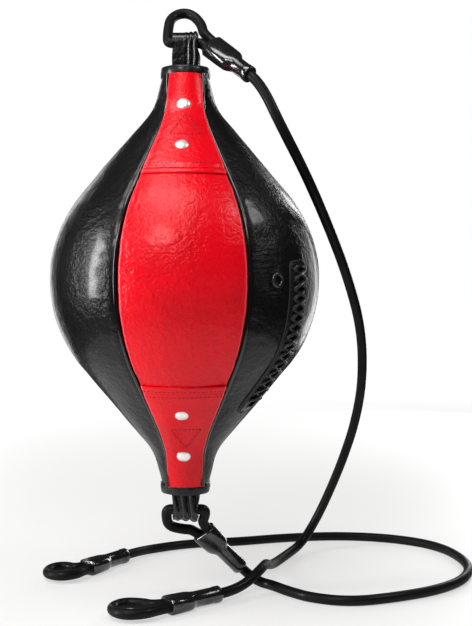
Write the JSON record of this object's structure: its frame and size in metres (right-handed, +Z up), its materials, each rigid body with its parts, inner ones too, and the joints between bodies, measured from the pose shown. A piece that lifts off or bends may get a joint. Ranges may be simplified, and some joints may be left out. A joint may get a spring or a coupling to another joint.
{
  "type": "double-end punching ball",
  "caption": "Laced leather punching ball with a riveted hanger strap in each throat, held between two elastic cords that end in looped eyes with moulded clamps.",
  "frame": {"origin": "On the axis of the upper hanger strap's bore, where the upper cord's eye holds the ball.", "axes": "+Z up along the ball's axis, -Y towards the red front panel, +X towards the laced opening. Both cords run out on the +X side and their far ends lie on a floor 436 mm below the origin."},
  "size_m": [0.3672, 0.2959, 0.4705],
  "materials": {
    "red_panel": "gloss",
    "black_panel": "gloss",
    "red_patch": "gloss",
    "seam_piping": "gloss",
    "rim_binding": "satin",
    "hanger_leather": "gloss",
    "rivet_metal": "polished",
    "lining_cloth": "matte",
    "bladder_rubber": "matte",
    "valve_rubber": "satin",
    "grommet": "gloss",
    "lace_facing": "satin",
    "lace_cord": "satin",
    "clamp_plastic": "gloss",
    "crimp_steel": "satin",
    "cord_rubber": "satin"
  },
  "bodies": {
    "bag": {"front_panel": "red_panel", "back_panel": "red_panel", "left_panel": "black_panel", "right_panel": "black_panel", "lining": "lining_cloth", "bladder": "bladder_rubber", "inflation_valve": "valve_rubber", "valve_grommet": "grommet", "lace_facings": "lace_facing", "lace_tongue": "lining_cloth", "lace": "lace_cord", "top_hanger_strap": "hanger_leather", "bottom_hanger_strap": "hanger_leather", "top_rivets": "rivet_metal", "bottom_rivets": "rivet_metal", "top_binding": "rim_binding", "bottom_binding": "rim_binding", "front_top_patch": "red_patch", "front_bottom_patch": "red_patch", "back_top_patch": "red_patch", "back_bottom_patch": "red_patch", "front_right_piping": "seam_piping", "back_right_piping": "seam_piping", "back_left_piping": "seam_piping", "front_left_piping": "seam_piping", "upper_far_eye": "cord_rubber", "upper_far_clamp": "clamp_plastic", "upper_far_crimp": "crimp_steel", "lower_far_eye": "cord_rubber", "lower_far_clamp": "clamp_plastic", "lower_far_crimp": "crimp_steel", "upper_cord": "cord_rubber", "lower_cord": "cord_rubber"},
    "upper_eye": {"upper_near_eye": "cord_rubber", "upper_near_clamp": "clamp_plastic", "upper_near_crimp": "crimp_steel"},
    "lower_eye": {"lower_near_eye": "cord_rubber", "lower_near_clamp": "clamp_plastic", "lower_near_crimp": "crimp_steel"}
  },
  "joints": [
    {"name": "upper_eye_swing", "type": "hinge", "parent": "bag", "child": "upper_eye", "pos_m": [0, 0, 0], "axis": [1, 0, 0], "range_deg": [-65, 0], "deforming": ["upper_cord"]},
    {"name": "lower_eye_swing", "type": "hinge", "parent": "bag", "child": "lower_eye", "pos_m": [0, 0, -0.364], "axis": [1, 0, 0], "range_deg": [-10, 50], "deforming": ["lower_cord"]}
  ]
}
